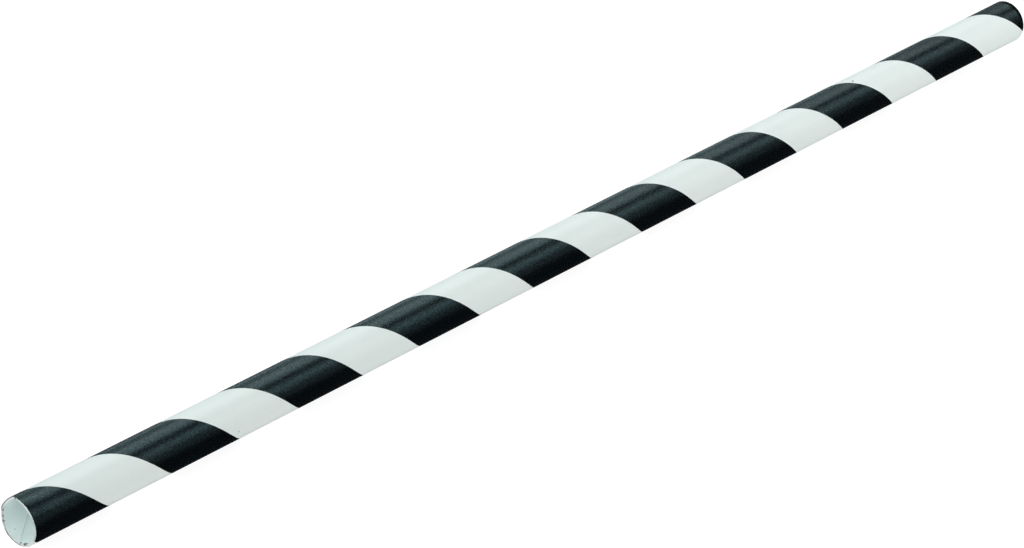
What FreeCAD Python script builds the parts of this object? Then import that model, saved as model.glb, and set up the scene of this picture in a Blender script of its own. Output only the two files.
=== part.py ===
import FreeCAD, Part
import math
import os

from FreeCAD import Vector

# Paper drinking straw. It lies on its side along X, as it comes to rest on a table,
# with the mouth that shows in the photograph at the low end of X.
# Paper strips wound side by side and glued make one bonded wall, which is one solid.
# The black field printed along the outermost strip is the second solid, let into the
# outer face of the wall and flush with it.

# Driving dimensions of the tube, in millimetres
tube_length = 197.0
outer_diameter = 6.2
wall_thickness = 0.36
outer_ply_thickness = 0.09
inner_ply_thickness = 0.12

# Winding: how far the strips travel along the tube in one turn
winding_pitch = 22.0

# Printed field and butt joint, measured square to the edge of the strip
black_width = 7.67
joint_gap = 0.12

# Where the low edge of the black field and the butt joint of the innermost strip
# meet the near end, in degrees about X from +Y towards +Z
black_edge_angle = 211.3
joint_angle = -91.0

# Two shallow dips that the cutting blade left in the rim of the near end
upper_dip_angle = 58.0
upper_dip_width = 3.8
upper_dip_depth = 0.5
side_dip_angle = 0.0
side_dip_width = 2.6
side_dip_depth = 0.2

# How far a cutting shape runs past the face that it cuts
overrun = 0.5

outer_radius = outer_diameter / 2
inner_radius = outer_radius - wall_thickness
outer_ply_radius = outer_radius - outer_ply_thickness
inner_ply_radius = inner_radius + inner_ply_thickness

# One spare turn below the near end and at least one past the far end
spare_turns = 1
winding_turns = math.ceil(tube_length / winding_pitch) + 2 * spare_turns


def tube(small_radius, large_radius):
    """A plain tube of the straw's length, standing on its near end."""
    outside = Part.makeCylinder(large_radius, tube_length)
    hollow_start = Vector(0, 0, -overrun)
    hollow = Part.makeCylinder(small_radius, tube_length + 2 * overrun, hollow_start)
    return outside.cut(hollow)


def along_tube(width, radius):
    """The length along the tube of a width measured square to the strip's edge."""
    circumference = 2 * math.pi * radius
    return width * math.hypot(circumference, winding_pitch) / circumference


def winding_line(radius, rim_angle, shift):
    """The right-handed path of the strip's edge at one radius."""
    line = Part.makeLongHelix(winding_pitch, winding_pitch * winding_turns, radius, 0)
    line.rotate(Vector(0, 0, 0), Vector(0, 0, 1), rim_angle)
    line.translate(Vector(0, 0, shift - spare_turns * winding_pitch))
    return line


def end_cap(lines, at_far_end):
    """The flat face that closes a ribbon at one of its ends."""
    corners = []
    for line in lines:
        edge = line.Edges[-1] if at_far_end else line.Edges[0]
        by_height = sorted((vertex.Point for vertex in edge.Vertexes), key=lambda point: point.z)
        corners.append(by_height[-1] if at_far_end else by_height[0])
    return Part.Face(Part.makePolygon(corners + corners[:1]))


def ribbon(small_radius, large_radius, rim_angle, width):
    """A solid ribbon that follows the winding and runs past both ends of the tube."""
    lines = [
        winding_line(small_radius, rim_angle, 0),
        winding_line(large_radius, rim_angle, 0),
        winding_line(large_radius, rim_angle, width),
        winding_line(small_radius, rim_angle, width),
    ]
    faces = [end_cap(lines, False), end_cap(lines, True)]
    for first, second in zip(lines, lines[1:] + lines[:1]):
        for low, high in zip(first.Edges, second.Edges):
            faces.append(Part.makeRuledSurface(low, high))
    skin = Part.makeShell(faces)
    skin.sewShape()
    return Part.makeSolid(skin)


def rim_dip(angle, width, depth):
    """What the blade took off the near rim: a round scoop through one side of the wall."""
    scoop_radius = (width ** 2 / 4 + depth ** 2) / (2 * depth)
    centre = Vector(0, 0, depth - scoop_radius)
    scoop = Part.makeCylinder(scoop_radius, outer_radius + overrun, centre, Vector(1, 0, 0))
    scoop.rotate(Vector(0, 0, 0), Vector(0, 0, 1), angle)
    return scoop


def cut_by_blade(solid):
    """The near rim as the blade left it."""
    upper = rim_dip(upper_dip_angle, upper_dip_width, upper_dip_depth)
    side = rim_dip(side_dip_angle, side_dip_width, side_dip_depth)
    return solid.cut(upper).cut(side)


def black_field():
    """The printed field, as deep as the outermost strip."""
    width = along_tube(black_width, outer_radius)
    field = ribbon(outer_ply_radius - overrun, outer_radius + overrun, black_edge_angle, width)
    return tube(outer_ply_radius, outer_radius).common(field)


def bonded_wall(field):
    """The glued wall, less the printed field and the open joint inside."""
    gap = along_tube(joint_gap, inner_radius)
    joint = ribbon(inner_radius - overrun, inner_ply_radius, joint_angle, gap)
    return tube(inner_radius, outer_radius).cut(field).cut(joint)


def laid_down(solid):
    """Turn the tube from upright to lying along X, resting on the plane Z = 0."""
    turned = solid.copy()
    turned.rotate(Vector(0, 0, 0), Vector(1, 1, 1), 120)
    turned.translate(Vector(-tube_length / 2, 0, outer_radius))
    return turned


stripe = black_field()
nodes = {
    "paper_tube": bonded_wall(stripe),
    "black_stripe": stripe,
}

os.makedirs("parts", exist_ok=True)
for name, solid in nodes.items():
    finished = laid_down(cut_by_blade(solid))
    finished.Solids[0].exportStep(f"parts/{name}.step")
    print(name, "solids", len(finished.Solids), "valid", finished.isValid(), "volume", round(finished.Volume, 3))
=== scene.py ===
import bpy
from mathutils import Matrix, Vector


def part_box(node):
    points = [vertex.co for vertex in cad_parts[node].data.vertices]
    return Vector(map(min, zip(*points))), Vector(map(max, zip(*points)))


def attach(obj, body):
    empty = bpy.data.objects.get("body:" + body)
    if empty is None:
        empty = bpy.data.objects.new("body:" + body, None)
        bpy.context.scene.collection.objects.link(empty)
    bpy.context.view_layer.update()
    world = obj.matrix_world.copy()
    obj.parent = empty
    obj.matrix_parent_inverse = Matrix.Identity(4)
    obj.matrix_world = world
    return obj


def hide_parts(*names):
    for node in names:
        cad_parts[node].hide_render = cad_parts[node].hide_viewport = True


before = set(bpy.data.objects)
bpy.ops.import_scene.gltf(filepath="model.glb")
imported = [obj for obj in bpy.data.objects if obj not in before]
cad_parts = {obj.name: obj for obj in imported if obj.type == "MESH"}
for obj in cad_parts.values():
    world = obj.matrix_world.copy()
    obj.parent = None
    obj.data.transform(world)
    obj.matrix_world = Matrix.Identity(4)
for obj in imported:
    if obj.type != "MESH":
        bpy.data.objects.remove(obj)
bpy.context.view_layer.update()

import math

import bpy
from mathutils import Matrix, Vector

# The start-up scene's own things are no part of the straw
for leftover in ("Cube", "Light", "Camera"):
    if leftover in bpy.data.objects:
        bpy.data.objects.remove(bpy.data.objects[leftover])

# The wound paper wall
# White paper strips, wound side by side round a steel pin and glued face to face, make one
# bonded sleeve, which is cut to length and open at both ends. The innermost strip leaves a
# butt joint that winds up the bore.
low_corner, high_corner = (Vector(corner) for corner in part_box("paper_tube"))
tube_length = high_corner.x - low_corner.x
outer_radius = (high_corner.y - low_corner.y) / 2
near_end = low_corner.x
wall = 0.36e-3
outer_ply = 0.09e-3
inner_ply = 0.12e-3
winding_pitch = 22.0e-3
wound_angle = 360.0 * tube_length / winding_pitch

# Where the edges meet the near end, in degrees from +Y towards +Z
black_start = 22.0
black_end = 211.3
joint_start = 268.2
joint_end = 269.8
full_turn = black_start + 360.0

# The edge of the innermost strip stands a little proud of the joint
lifted_edge = 0.025e-3
curl_reach = 0.5e-3
edge_spread = 0.5

# How finely the winding is drawn, and how close two points are to count as one
rings = 360
field_steps = 63
field_to_joint_steps = 19
joint_to_field_steps = 37
same_on_face = 1e-6
same_at_seam = 2e-6


def start_clean():
    """Nothing selected and nothing in edit mode, so an operator acts only on what it is given."""
    if bpy.context.object and bpy.context.object.mode != "OBJECT":
        bpy.ops.object.mode_set(mode="OBJECT")
    bpy.ops.object.select_all(action="DESELECT")


def take(*pieces):
    """Select only these pieces, the last one active."""
    start_clean()
    for piece in pieces:
        piece.select_set(True)
        bpy.context.view_layer.objects.active = piece


def choose_faces(piece, test):
    """In edit mode, select the faces whose centre passes a test."""
    bpy.ops.mesh.select_mode(type="FACE")
    bpy.ops.mesh.select_all(action="DESELECT")
    bpy.ops.object.mode_set(mode="OBJECT")
    for face in piece.data.polygons:
        face.select = test(face.center)
    bpy.ops.object.mode_set(mode="EDIT")


def choose_points(piece, test):
    """In edit mode, select the points whose place passes a test."""
    bpy.ops.mesh.select_mode(type="VERT")
    bpy.ops.mesh.select_all(action="DESELECT")
    bpy.ops.object.mode_set(mode="OBJECT")
    for point in piece.data.vertices:
        point.select = test(point.co)
    bpy.ops.object.mode_set(mode="EDIT")


def turn_of(place, first=black_start):
    """The angle of a place about the tube, from +Y towards +Z, counted up from a first angle."""
    angle = math.degrees(math.atan2(place.z, place.y))
    return first + (angle - first) % 360.0


def cut_face(name, radii, stations):
    """The cut end of a sleeve: a line across its plies, spun round from station to station.

    A station is an angle and the number of steps that lead up to it."""
    start_clean()
    bpy.ops.mesh.primitive_plane_add(size=outer_radius)
    piece = bpy.context.object
    piece.name = name
    bpy.ops.object.mode_set(mode="EDIT")
    bpy.ops.mesh.select_mode(type="VERT")
    bpy.ops.mesh.merge(type="CENTER")
    first_angle = math.radians(stations[0][0])
    across = Vector((0.0, math.cos(first_angle), math.sin(first_angle)))
    bpy.ops.transform.translate(value=across * radii[0])
    for inside, outside in zip(radii, radii[1:]):
        step = across * (outside - inside)
        bpy.ops.mesh.extrude_vertices_move(TRANSFORM_OT_translate={"value": step})
    bpy.ops.mesh.select_all(action="SELECT")
    for (start, _), (end, steps) in zip(stations, stations[1:]):
        bpy.ops.mesh.spin(steps=steps, angle=-math.radians(end - start), axis=(1, 0, 0))
    bpy.ops.mesh.select_all(action="SELECT")
    bpy.ops.mesh.remove_doubles(threshold=same_on_face)
    bpy.ops.object.mode_set(mode="OBJECT")
    return piece


def wind(piece):
    """Carry a cut face along the winding: side walls by a screw, and the far end as a turned copy."""
    take(piece)
    bpy.ops.object.duplicate()
    outline = bpy.context.object
    bpy.ops.object.duplicate()
    far_face = bpy.context.object
    bpy.ops.object.mode_set(mode="EDIT")
    bpy.ops.mesh.select_all(action="SELECT")
    bpy.ops.transform.translate(value=(tube_length, 0, 0))
    bpy.ops.object.mode_set(mode="OBJECT")
    far_face.rotation_euler.x = math.radians(wound_angle)
    bpy.ops.object.transform_apply(location=True, rotation=True, scale=True)

    take(outline)
    bpy.ops.object.mode_set(mode="EDIT")
    bpy.ops.mesh.select_mode(type="EDGE")
    bpy.ops.mesh.select_all(action="SELECT")
    bpy.ops.mesh.region_to_loop()
    bpy.ops.mesh.select_all(action="INVERT")
    bpy.ops.mesh.delete(type="EDGE")
    bpy.ops.mesh.select_all(action="SELECT")
    bpy.ops.mesh.delete(type="ONLY_FACE")
    bpy.ops.object.mode_set(mode="OBJECT")
    bpy.ops.object.modifier_add(type="SCREW")
    screw = outline.modifiers[-1]
    screw.axis = "X"
    screw.angle = math.radians(wound_angle)
    screw.screw_offset = tube_length
    screw.steps = rings
    screw.render_steps = rings
    screw.use_smooth_shade = True
    bpy.ops.object.modifier_apply(modifier=screw.name)

    take(far_face, outline, piece)
    bpy.ops.object.join()
    bpy.ops.object.mode_set(mode="EDIT")
    bpy.ops.mesh.select_all(action="SELECT")
    bpy.ops.mesh.remove_doubles(threshold=same_at_seam)
    bpy.ops.mesh.normals_make_consistent(inside=False)
    bpy.ops.object.mode_set(mode="OBJECT")


def new_material(name):
    """An empty material with its output, and a function that adds a node with its values."""
    material = bpy.data.materials.new(name)
    material.use_nodes = True
    tree = material.node_tree
    tree.nodes.clear()

    def node(kind, values=None, **settings):
        added = tree.nodes.new(kind)
        for key, value in settings.items():
            setattr(added, key, value)
        for socket, value in (values or {}).items():
            if isinstance(value, bpy.types.NodeSocket):
                tree.links.new(value, added.inputs[socket])
            else:
                added.inputs[socket].default_value = value
        return added

    return material, node


def math_node(node, operation, *terms):
    """The result of one sum on numbers or sockets."""
    return node("ShaderNodeMath", dict(enumerate(terms)), operation=operation).outputs[0]


def ramp(node, value, low, high, at_low=0.0, at_high=1.0):
    """A value carried smoothly from one range to another and held beyond its ends."""
    carried = node("ShaderNodeMapRange", {
        "Value": value, "From Min": low, "From Max": high,
        "To Min": at_low, "To Max": at_high}, interpolation_type="SMOOTHSTEP")
    return carried.outputs["Result"]


def round_the_tube(node, place):
    """From a place: how far past the near end, how far from the tube's axis, and the angle in turns."""
    parts = node("ShaderNodeSeparateXYZ", {"Vector": place}).outputs
    past_end = math_node(node, "SUBTRACT", parts["X"], near_end)
    height = math_node(node, "SUBTRACT", parts["Z"], outer_radius)
    side_square = math_node(node, "POWER", parts["Y"], 2.0)
    height_square = math_node(node, "POWER", height, 2.0)
    from_axis = math_node(node, "SQRT", math_node(node, "ADD", side_square, height_square))
    angle = math_node(node, "ARCTAN2", height, parts["Y"])
    return past_end, from_axis, math_node(node, "DIVIDE", angle, 2.0 * math.pi)


def band(node, value, low, high, blur):
    """One between two limits and nothing outside them, with soft edges."""
    rising = ramp(node, value, low - blur, low + blur)
    falling = ramp(node, value, high - blur, high + blur, 1.0, 0.0)
    return math_node(node, "MULTIPLY", rising, falling)


def specks(node, place, ragged, marks):
    """How dark the small marks are at a place: each is a round spot with a ragged edge."""
    darkness = 0.0
    for past_end, angle, from_axis, size, strength in marks:
        turned = math.radians(angle)
        side = from_axis * math.cos(turned)
        height = outer_radius + from_axis * math.sin(turned)
        apart = node("ShaderNodeVectorMath", {
            0: place, 1: (near_end + past_end, side, height)}, operation="DISTANCE").outputs["Value"]
        uneven = math_node(node, "MULTIPLY_ADD", ragged, size, apart)
        spot = ramp(node, uneven, speck_core * size, speck_blur * size, strength, 0.0)
        darkness = math_node(node, "MAXIMUM", darkness, spot)
    return darkness


inner_radius = outer_radius - wall
ply_radii = [inner_radius, inner_radius + inner_ply, outer_radius - outer_ply, outer_radius]
paper_wall = cut_face("paper_wall", ply_radii, [
    (black_start, 0),
    (black_end, field_steps),
    (joint_start, field_to_joint_steps),
    (joint_end, 1),
    (full_turn, joint_to_field_steps),
])


def printed_ply(place):
    return turn_of(place) < black_end and place.yz.length > outer_radius - outer_ply


def open_joint(place):
    return joint_start < turn_of(place) < joint_end and place.yz.length < inner_radius + inner_ply


def curled_edge(place):
    at_edge = abs(turn_of(place) - joint_start) < edge_spread
    return at_edge and place.yz.length < inner_radius + inner_ply / 2


bpy.ops.object.mode_set(mode="EDIT")
choose_faces(paper_wall, lambda place: printed_ply(place) or open_joint(place))
bpy.ops.mesh.delete(type="FACE")
choose_points(paper_wall, curled_edge)
bpy.ops.transform.translate(
    value=(0, 0, lifted_edge), use_proportional_edit=True, use_proportional_connected=True,
    proportional_edit_falloff="SMOOTH", proportional_size=curl_reach)
bpy.ops.object.mode_set(mode="OBJECT")
wind(paper_wall)

paper_dark = (0.745, 0.812, 0.785, 1.0)
paper_light = (0.785, 0.848, 0.82, 1.0)
inner_ply_tone = (0.81, 0.925, 0.91, 1.0)
# The cut faces are painted a darker grey tone: painted shade on the cut
cut_shade_tone = (0.42, 0.46, 0.45, 1.0)
# One dark tone for specks of dirt and for the painted shade on the edges of the near cut
dirt_and_shade_tone = (0.035, 0.045, 0.046, 1.0)
fibre_height = 12e-6
cut_shade_depth = 0.52
cut_darkening_density = 0.95
side_darkness = 0.27

# The painted shade on the edges of the cut, and its darker sides, lie only on the near cut: all of it
# up to here, and none past there
cut_darkening_full = 1.0e-3
cut_darkening_gone = 1.5e-3

# Painted shade on the edges, and darker sides, round the near cut: from and to, in turns from +Y
# towards +Z, and how soft its ends are
low_left_shade = (-0.27, -0.09, 0.03)
high_left_shade = (0.03, 0.09, 0.02)
bore_edge_shade = (-0.085, 0.06, 0.015)
darker_left_side = (-0.12, 0.06, 0.03)
darker_right_start = 0.385
darker_right_full = 0.425

# Small marks: how far past the near end, angle, distance from the axis, size, strength
speck_core = 0.9
speck_blur = 1.5
mid_cut = inner_radius + 0.10e-3
small_marks = (
    (1.04e-3, -47.5, inner_radius, 0.07e-3, 0.45),
    (1.32e-3, 44.9, inner_radius, 0.07e-3, 0.35),
    (0.10e-3, -92.0, inner_radius, 0.13e-3, 0.75),
    (0.18e-3, -107.0, inner_radius, 0.21e-3, 0.9),
    (0.18e-3, -116.0, inner_radius, 0.14e-3, 0.7),
    (0.08e-3, -127.5, inner_radius, 0.08e-3, 0.5),
    (0.16e-3, 12.0, mid_cut, 0.11e-3, 0.85),
    (0.14e-3, -4.0, mid_cut, 0.11e-3, 0.85),
    (0.12e-3, -17.0, inner_radius + 0.12e-3, 0.12e-3, 0.9),
    (0.48e-3, 74.0, inner_radius + 0.18e-3, 0.16e-3, 0.9),
    (33.46e-3, 189.7, outer_radius, 0.09e-3, 0.7),
    (159.30e-3, 96.1, outer_radius, 0.14e-3, 0.85),
)

straw_paper, node = new_material("straw_paper")
place = node("ShaderNodeTexCoord").outputs["Object"]
pulp = node("ShaderNodeTexNoise", {"Vector": place, "Scale": 420.0, "Detail": 5.0, "Roughness": 0.6})
fibres = node("ShaderNodeTexNoise", {
    "Vector": place, "Scale": 5200.0, "Detail": 6.0, "Roughness": 0.65})
tone = node("ShaderNodeMix", {
    "Factor": pulp.outputs["Fac"], "A": paper_dark, "B": paper_light},
    data_type="RGBA").outputs["Result"]
sheen_spread = node("ShaderNodeMapRange", {
    "Value": fibres.outputs["Fac"], "From Min": 0.3, "From Max": 0.7,
    "To Min": 0.34, "To Max": 0.46}).outputs["Result"]
grain = node("ShaderNodeBump", {
    "Height": fibres.outputs["Fac"], "Strength": 0.25,
    "Distance": fibre_height}).outputs["Normal"]
past_end, from_axis, turns = round_the_tube(node, place)
outwards = ramp(node, from_axis, inner_radius + inner_ply, outer_radius - outer_ply)
ply_tone = node("ShaderNodeMix", {
    "Factor": outwards, "A": inner_ply_tone, "B": tone}, data_type="RGBA").outputs["Result"]

# A cut face looks along the tube, and is painted a duller grey than the paper: painted shade on the cut
surface = node("ShaderNodeNewGeometry").outputs["Normal"]
facing = node("ShaderNodeSeparateXYZ", {"Vector": surface}).outputs["X"]
cut = ramp(node, math_node(node, "ABSOLUTE", facing), 0.5, 0.8)
near_cut = math_node(
    node, "MULTIPLY", cut, ramp(node, past_end, cut_darkening_full, cut_darkening_gone, 1.0, 0.0))
cut_shaded_tone = node("ShaderNodeMix", {
    "Factor": math_node(node, "MULTIPLY", cut, cut_shade_depth), "A": ply_tone,
    "B": cut_shade_tone}, data_type="RGBA").outputs["Result"]

# Painted shade lies in patches on the outer and the inner edge of the cut, and the cut is thinly darker
# over its sides
patch_noise = node("ShaderNodeTexNoise", {
    "Vector": place, "Scale": 2400.0, "Detail": 3.0, "Roughness": 0.6}).outputs["Fac"]
patchy = ramp(node, patch_noise, 0.28, 0.46)
outer_edge = ramp(node, from_axis, outer_radius - 0.15e-3, outer_radius - 0.08e-3)
inner_edge = ramp(node, from_axis, inner_radius + 0.03e-3, inner_radius + 0.10e-3, 1.0, 0.0)
left_shade = math_node(
    node, "ADD", band(node, turns, *low_left_shade), band(node, turns, *high_left_shade))
outer_edge_shade = math_node(node, "MULTIPLY", outer_edge, left_shade)
inner_edge_shade = math_node(node, "MULTIPLY", inner_edge, band(node, turns, *bore_edge_shade))
edge_shade = math_node(
    node, "MULTIPLY", patchy, math_node(node, "MAXIMUM", outer_edge_shade, inner_edge_shade))
darker_left = band(node, turns, *darker_left_side)
from_left = math_node(node, "ABSOLUTE", turns)
darker_right = ramp(node, from_left, darker_right_start, darker_right_full)
darker_sides = math_node(
    node, "MULTIPLY", math_node(node, "MAXIMUM", darker_left, darker_right), side_darkness)
# Painted shade on the cut's edges, and its darker sides, only on the near cut
cut_darkening = math_node(node, "MULTIPLY", near_cut, math_node(node, "MAXIMUM", darker_sides, edge_shade))
ragged_marks = math_node(node, "SUBTRACT", patch_noise, 0.5)
# Specks of dirt join the painted shade here, and both take one dark tone
dirt_and_shade = math_node(
    node, "MAXIMUM", math_node(node, "MULTIPLY", cut_darkening, cut_darkening_density),
    specks(node, place, ragged_marks, small_marks))
paper_tone = node("ShaderNodeMix", {
    "Factor": dirt_and_shade, "A": cut_shaded_tone, "B": dirt_and_shade_tone}, data_type="RGBA").outputs["Result"]
paper_look = node("ShaderNodeBsdfPrincipled", {
    "Base Color": paper_tone, "Roughness": sheen_spread, "IOR": 1.5,
    "Sheen Weight": 0.03, "Normal": grain})
node("ShaderNodeOutputMaterial", {"Surface": paper_look.outputs["BSDF"]})
paper_wall.data.materials.append(straw_paper)

# The black printed field
# Black ink printed along the outermost strip, about half as wide as the strip. It is as
# deep as that strip, flush with the white paper beside it, and winds round with it.
black_print = cut_face("black_print", ply_radii[2:], [(black_start, 0), (black_end, field_steps)])
wind(black_print)

ink_thick = (0.0010, 0.0015, 0.0020, 1.0)
ink_thin = (0.0018, 0.0026, 0.0034, 1.0)
ink_gloss_tint = (0.56, 0.95, 1.0, 1.0)
mottle_height = 36e-6
scuff_slant = 0.14
scuff_start = tube_length + 0.07e-3
scuff_full = tube_length + 0.19e-3
scuffed_gloss = 0.04

straw_ink, node = new_material("straw_ink")
place = node("ShaderNodeTexCoord").outputs["Object"]
mottle = node("ShaderNodeTexNoise", {
    "Vector": place, "Scale": 5000.0, "Detail": 4.0, "Roughness": 0.7}).outputs["Fac"]
coverage = node("ShaderNodeTexNoise", {
    "Vector": place, "Scale": 700.0, "Detail": 3.0}).outputs["Fac"]
ink_tone = node("ShaderNodeMix", {
    "Factor": coverage, "A": ink_thick, "B": ink_thin}, data_type="RGBA").outputs["Result"]
satin = node("ShaderNodeMapRange", {
    "Value": mottle, "From Min": 0.3, "From Max": 0.7,
    "To Min": 0.19, "To Max": 0.31}).outputs["Result"]
gloss = node("ShaderNodeMapRange", {
    "Value": mottle, "From Min": 0.38, "From Max": 0.62,
    "To Min": 0.2, "To Max": 0.8}).outputs["Result"]

# The print is scuffed dull at the far end, and further in on top of the straw than below
parts = node("ShaderNodeSeparateXYZ", {"Vector": place}).outputs
past_end = math_node(node, "SUBTRACT", parts["X"], near_end)
scuff_reach = math_node(node, "MULTIPLY_ADD", parts["Z"], scuff_slant, past_end)
dulled = ramp(node, scuff_reach, scuff_start, scuff_full, 1.0, scuffed_gloss)
ink_grain = node("ShaderNodeBump", {
    "Height": mottle, "Strength": 0.8, "Distance": mottle_height}).outputs["Normal"]
ink_look = node("ShaderNodeBsdfPrincipled", {
    "Base Color": ink_tone, "Roughness": satin, "IOR": 1.5,
    "Specular IOR Level": math_node(node, "MULTIPLY", gloss, dulled),
    "Specular Tint": ink_gloss_tint, "Normal": ink_grain})
node("ShaderNodeOutputMaterial", {"Surface": ink_look.outputs["BSDF"]})
black_print.data.materials.append(straw_ink)

# The near mouth
# The blade that cut the straw to length pushed the near rim in at two places, left it a
# little bulged, flattened and ragged, and eased the far rim. Wall and print were cut in one
# stroke, so both are shaped together here and are parted again afterwards.
rim_depth = 0.05e-3
far_rounding = 0.08e-3
ragged_depth = 0.12e-3
ragged_grain = 0.35e-3
crease_angle = 30.0

# Pushes on the near rim: at what angle, how wide, how far in along the tube, how far outwards
push_spread = 2.0
rim_pushes = (
    (58.0, 2.4e-3, 0.55e-3, 0.0),
    (0.0, 1.5e-3, 0.1e-3, 0.0),
    (38.0, 2.2e-3, 0.0, 0.2e-3),
    (150.0, 2.8e-3, 0.0, -0.13e-3),
    (-50.0, 1.5e-3, 0.0, 0.09e-3),
)


def far_outer_edge(place):
    return place.x > tube_length - rim_depth and place.yz.length > outer_radius - rim_depth


def near_rim(place):
    return place.x < rim_depth


take(paper_wall, black_print)
bpy.ops.object.join()
straw = bpy.context.object
bpy.ops.object.mode_set(mode="EDIT")
choose_points(straw, far_outer_edge)
bpy.ops.mesh.bevel(offset=far_rounding, segments=2, affect="EDGES")
choose_points(straw, near_rim)
bpy.ops.object.vertex_group_assign_new()
for angle, reach, depth, outward in rim_pushes:
    first = angle - push_spread
    last = angle + push_spread
    choose_points(straw, lambda place: near_rim(place) and turn_of(place, first) < last)
    turned = math.radians(angle)
    bpy.ops.transform.translate(
        value=(depth, outward * math.cos(turned), outward * math.sin(turned)),
        use_proportional_edit=True, use_proportional_connected=False,
        proportional_edit_falloff="SMOOTH", proportional_size=reach)
bpy.ops.object.mode_set(mode="OBJECT")
blade_marks = bpy.data.textures.new("blade_marks", "CLOUDS")
blade_marks.noise_scale = ragged_grain
bpy.ops.object.modifier_add(type="DISPLACE")
ragged = straw.modifiers[-1]
ragged.texture = blade_marks
ragged.texture_coords = "LOCAL"
ragged.direction = "X"
ragged.mid_level = 0.0
ragged.strength = ragged_depth
ragged.vertex_group = straw.vertex_groups[0].name
bpy.ops.object.modifier_apply(modifier=ragged.name)
straw.vertex_groups.clear()

# The straw goes to its place in the frame, and its two materials part it into two pieces
bpy.ops.object.mode_set(mode="EDIT")
bpy.ops.mesh.select_all(action="SELECT")
bpy.ops.transform.translate(value=(near_end, 0, outer_radius))
bpy.ops.mesh.separate(type="MATERIAL")
bpy.ops.object.mode_set(mode="OBJECT")
for piece in list(bpy.context.selected_objects):
    printed = piece.data.materials[0] == straw_ink
    piece.name = "black_print" if printed else "paper_wall"
    take(piece)
    bpy.ops.object.shade_smooth_by_angle(angle=math.radians(crease_angle))
    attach(piece, "root")
    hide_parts("black_stripe" if printed else "paper_tube")

# The floor
# A plain white surface that the straw lies on. It runs far past the picture on all sides
# and glows evenly, so that hardly a shadow shows on it. The ink doesn't mirror it.
floor_size = 6.0
floor_tone = (0.15, 0.15, 0.15, 1.0)
floor_glow_tone = (1.0, 1.0, 1.0, 1.0)
floor_glow = 0.93

start_clean()
bpy.ops.mesh.primitive_plane_add(size=floor_size)
floor = bpy.context.object
floor.name = "floor"
floor_paint, node = new_material("floor_paint")
floor_look = node("ShaderNodeBsdfPrincipled", {
    "Base Color": floor_tone, "Roughness": 0.9, "Specular IOR Level": 0.0,
    "Emission Color": floor_glow_tone, "Emission Strength": floor_glow})
node("ShaderNodeOutputMaterial", {"Surface": floor_look.outputs["BSDF"]})
floor.data.materials.append(floor_paint)
floor.visible_glossy = False

# Light and camera
# Two long soft boxes over the straw make the two streaks of sheen on the ink, and a third
# joins them at the far end. Three dim cards show beside them. Five fills, which the ink
# doesn't mirror, light the paper, the near mouth and the bore.
straw_middle = Vector((0.0, 0.0, outer_radius))
along_straw = Vector((1.0, 0.0, 0.0))
box_distance = 1.0
askew = 20.0
plain_white = (1.0, 1.0, 1.0)
daylight = (0.92, 1.0, 1.02)
cool = (0.72, 1.0, 1.04)
room_tone = (0.75, 0.95, 1.0, 1.0)
room_glow = 0.02

# Those that the ink mirrors: the angle that they stand at from +Y towards +Z, how far along
# the straw, their length and width, their radiance and their colour
mirrored_boxes = {
    "back_soft_box": (70.0, 0.74, 1.2, 0.82, 1.82, daylight),
    "front_soft_box": (134.0, 0.92, 1.2, 0.50, 1.45, daylight),
    "far_soft_box": (111.0, 1.42, 0.6, 0.34, 1.5, daylight),
    "front_card": (170.0, 0.85, 1.2, 0.24, 0.55, plain_white),
    "back_card": (28.0, 0.88, 1.2, 0.36, 0.46, cool),
    "low_card": (5.0, 0.82, 0.8, 0.22, 1.2, cool),
}

# Those that it doesn't: their place, length, width and radiance
fills = {
    "top_fill": ((-0.6, 0.9, 1.6), 4.0, 4.0, 0.50),
    "rear_fill": ((-0.4, 1.1, 0.7), 1.0, 0.8, 1.8),
    "side_fill": ((0.36, -0.27, 0.12), 0.3, 0.2, 3.4),
    "mouth_fill": ((-2.35, -1.25, 1.2), 2.0, 2.0, 1.75),
    "bore_fill": ((-2.0, -0.2, 1.7), 1.5, 1.5, 3.2),
}


def even_lamp(name, place, length, width, radiance, colour):
    """A rectangular lamp that is equally bright all over."""
    bpy.ops.object.light_add(type="AREA", location=place)
    lamp = bpy.context.object
    lamp.name = name
    lamp.data.shape = "RECTANGLE"
    lamp.data.size = length
    lamp.data.size_y = width
    lamp.data.energy = radiance * math.pi * length * width
    lamp.data.color = colour
    return lamp


for name, (angle, along, length, width, radiance, colour) in mirrored_boxes.items():
    turned = math.radians(angle)
    side = box_distance * math.cos(turned)
    place = Vector((along, side, outer_radius + box_distance * math.sin(turned)))
    lamp = even_lamp(name, place, length, width, radiance, colour)
    facing = straw_middle - place
    facing.x = 0.0
    across = -facing.cross(along_straw).normalized()
    lying_along = Matrix((along_straw, across, -facing.normalized())).transposed()
    turn = lying_along @ Matrix.Rotation(math.radians(askew), 3, "Z")
    lamp.rotation_euler = turn.to_euler()

for name, (place, length, width, radiance) in fills.items():
    lamp = even_lamp(name, place, length, width, radiance, plain_white)
    lamp.visible_glossy = False
    facing = straw_middle - Vector(place)
    lamp.rotation_euler = facing.to_track_quat("-Z", "Y").to_euler()

world = bpy.data.worlds.new("studio")
bpy.context.scene.world = world
world.use_nodes = True
background = world.node_tree.nodes["Background"]
background.inputs["Color"].default_value = room_tone
background.inputs["Strength"].default_value = room_glow

camera_place = (-0.39048, -0.33405, 0.25571)
camera_turn = (math.radians(63.41), 0.0, math.radians(-48.61))
camera_lens = 152.705
camera_sensor = 36.0
nearest_seen = 0.01
farthest_seen = 20.0
bpy.ops.object.camera_add(location=camera_place, rotation=camera_turn)
camera = bpy.context.object
camera.data.lens = camera_lens
camera.data.sensor_width = camera_sensor
camera.data.clip_start = nearest_seen
camera.data.clip_end = farthest_seen
bpy.context.scene.camera = camera
bpy.context.scene.view_settings.view_transform = "Standard"
